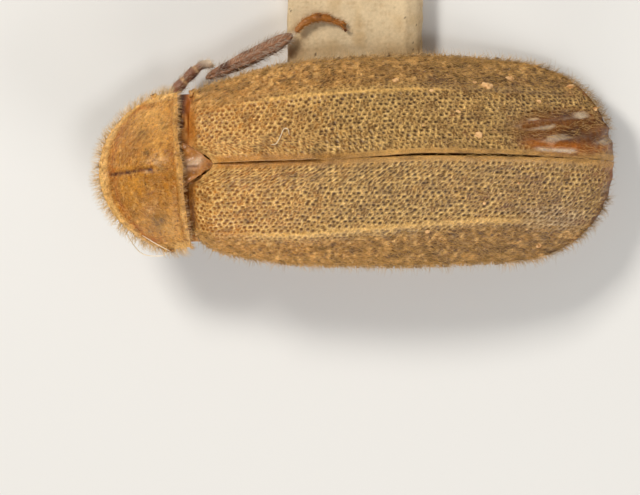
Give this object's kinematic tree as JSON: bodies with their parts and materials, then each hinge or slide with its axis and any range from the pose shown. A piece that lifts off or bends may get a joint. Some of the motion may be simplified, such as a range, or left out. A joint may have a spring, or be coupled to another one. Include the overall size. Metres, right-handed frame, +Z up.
{
  "type": "firefly",
  "caption": "Dried firefly glued to a card strip: hooded head, large black eyes, closed wing cases, pleated flight wings, broken legs and feelers.",
  "frame": {"origin": "on the underside of the card, below the middle of the insect", "axes": "+X from the head to the wing tips, +Y to the animal's right side and along the card, +Z up"},
  "size_m": [0.0064, 0.0045, 0.0022],
  "materials": {
    "neck_shield": "satin",
    "wing_case": "satin",
    "pale_shell": "satin",
    "chest_shell": "satin",
    "dark_shell": "gloss",
    "leg_ochre": "satin",
    "leg_brown": "satin",
    "feeler_brown": "satin",
    "eye_black": "gloss",
    "wing_membrane": "satin",
    "card": "matte",
    "glue": "gloss"
  },
  "bodies": {
    "root": {"elytron_left": "wing_case", "elytron_right": "wing_case", "pronotum": "neck_shield", "scutellum": "pale_shell", "metathorax": "chest_shell", "mesothorax": "chest_shell", "prosternum": "chest_shell", "eye_left": "eye_black", "eye_right": "eye_black", "head": "dark_shell", "mouthparts": "leg_brown", "palp_left": "leg_brown", "palp_right": "leg_brown", "antenna_left_base": "feeler_brown", "antenna_right_base": "feeler_brown", "antenna_left": "feeler_brown", "antenna_right": "feeler_brown", "hip_front_left": "leg_ochre", "hip_front_right": "leg_ochre", "thigh_front_left": "leg_ochre", "thigh_front_right": "leg_ochre", "shin_front_right": "leg_brown", "hip_middle_left": "leg_ochre", "hip_middle_right": "leg_ochre", "thigh_middle_left": "leg_ochre", "thigh_middle_right": "leg_ochre", "shin_middle_right": "leg_brown", "foot_middle_right": "leg_brown", "hip_hind_left": "dark_shell", "hip_hind_right": "dark_shell", "thigh_hind_left": "leg_ochre", "shin_hind_left": "leg_brown", "thigh_hind_right": "leg_ochre", "abdomen_root": "dark_shell", "hindwing_left": "wing_membrane", "hindwing_right": "wing_membrane", "card": "card", "glue": "glue"}
  },
  "joints": []
}
